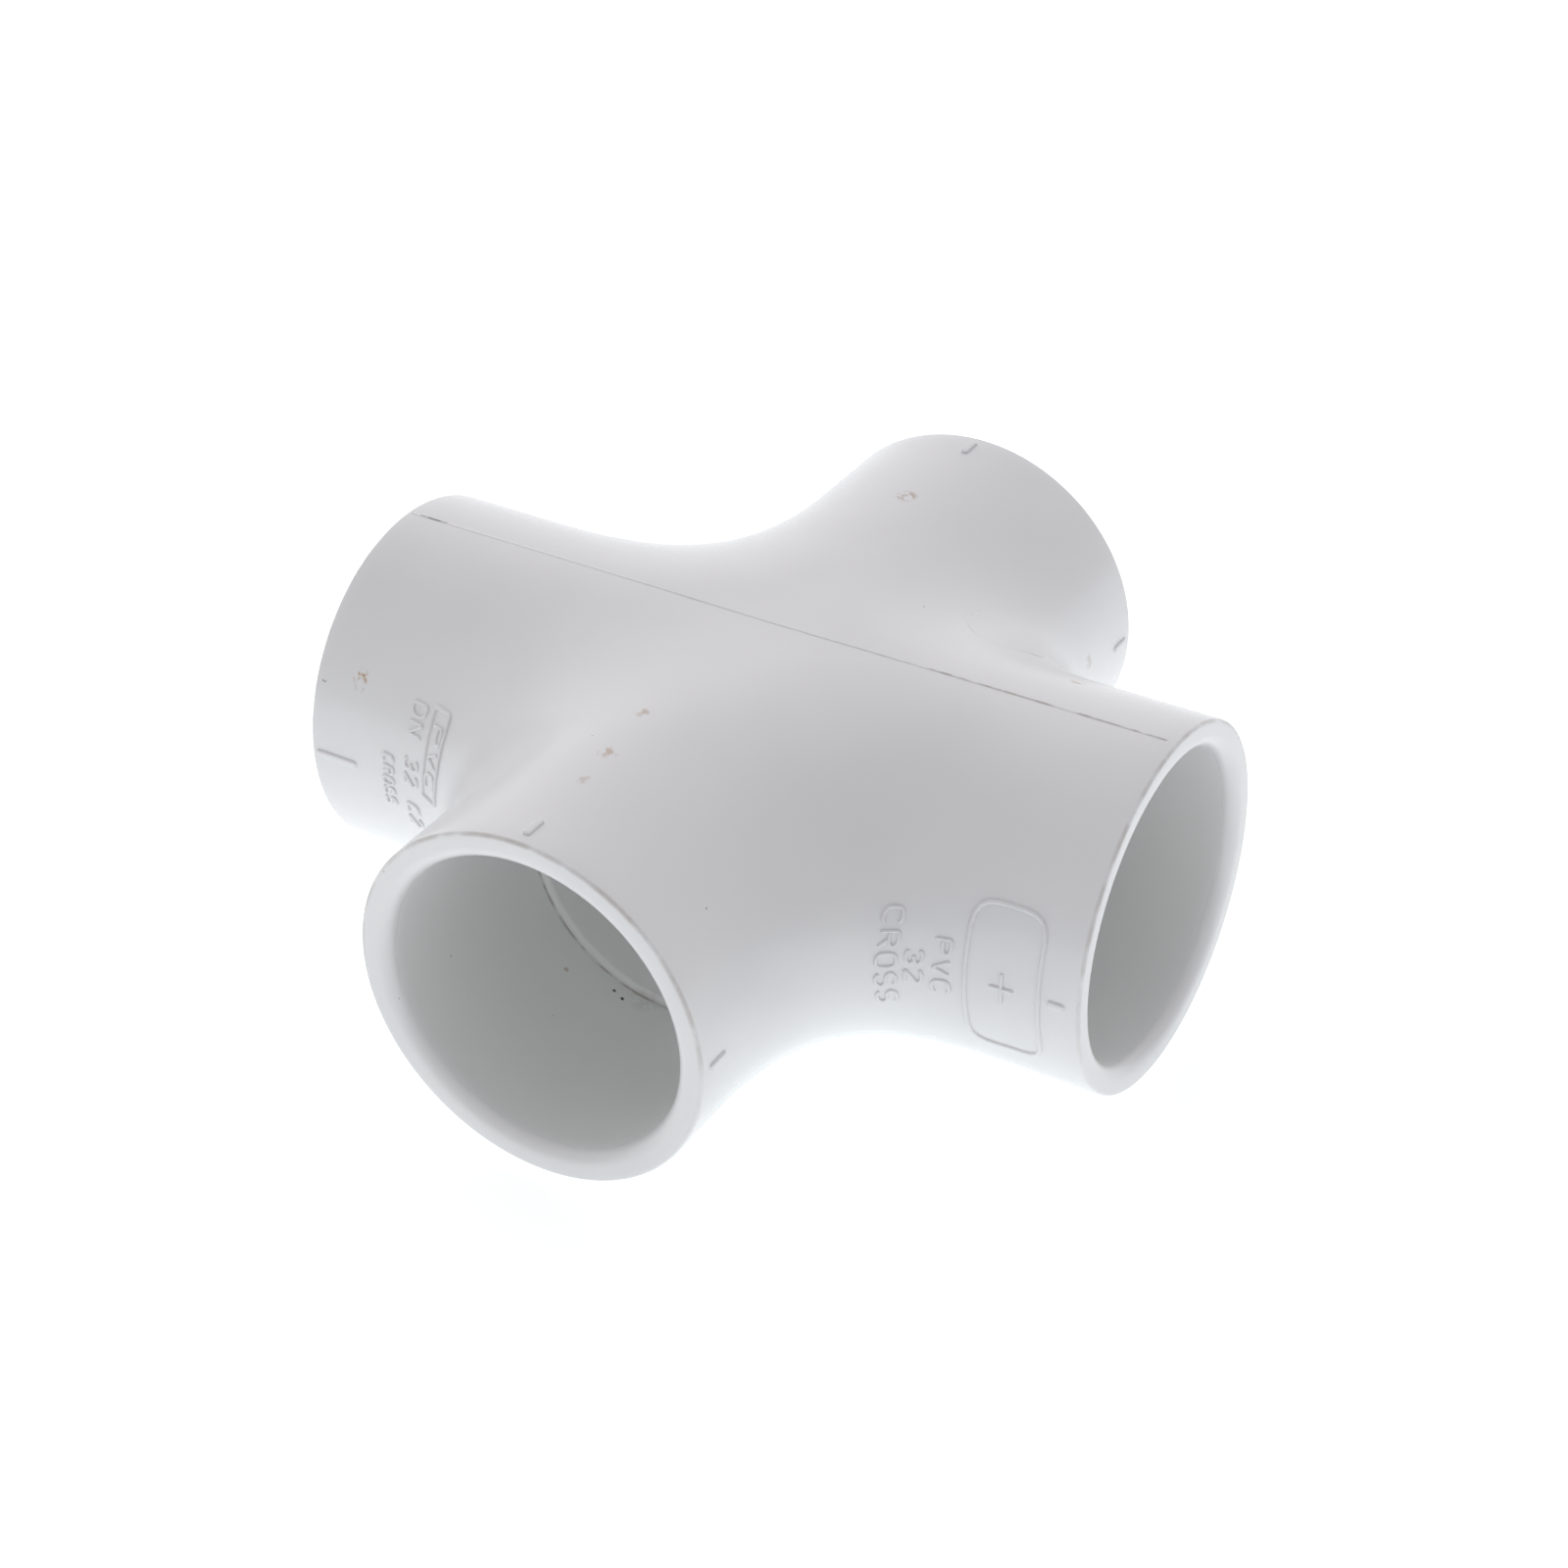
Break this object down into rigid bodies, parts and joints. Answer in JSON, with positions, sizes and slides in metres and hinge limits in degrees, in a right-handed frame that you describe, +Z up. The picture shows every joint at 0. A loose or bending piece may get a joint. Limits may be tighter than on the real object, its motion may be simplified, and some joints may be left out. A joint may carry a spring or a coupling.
{
  "type": "pipe cross fitting",
  "caption": "Moulded white plastic pipe cross: equal tapered sockets at right angles around a webbed hub, with stop shoulders, parting ridge and alignment ticks.",
  "frame": {"origin": "crossing point of the two socket axes, at the middle of the hub", "axes": "+X along the run with the parting ridge, out of socket_right; +Y out of socket_back; +Z up, square to both runs"},
  "size_m": [0.1174, 0.1174, 0.0511],
  "materials": {
    "pvc": "moulded gloss"
  },
  "bodies": {
    "root": {"centre_hub": "pvc", "socket_right": "pvc", "socket_left": "pvc", "socket_front": "pvc", "socket_back": "pvc", "parting_ridge_top": "pvc", "parting_ridge_underside": "pvc", "ticks_left": "pvc", "ticks_right": "pvc", "ticks_front": "pvc", "ticks_back": "pvc", "ticks_underside": "pvc", "marking_left_frame": "pvc", "marking_left_text": "pvc", "marking_right_frame": "pvc", "marking_right_text": "pvc"}
  },
  "joints": []
}
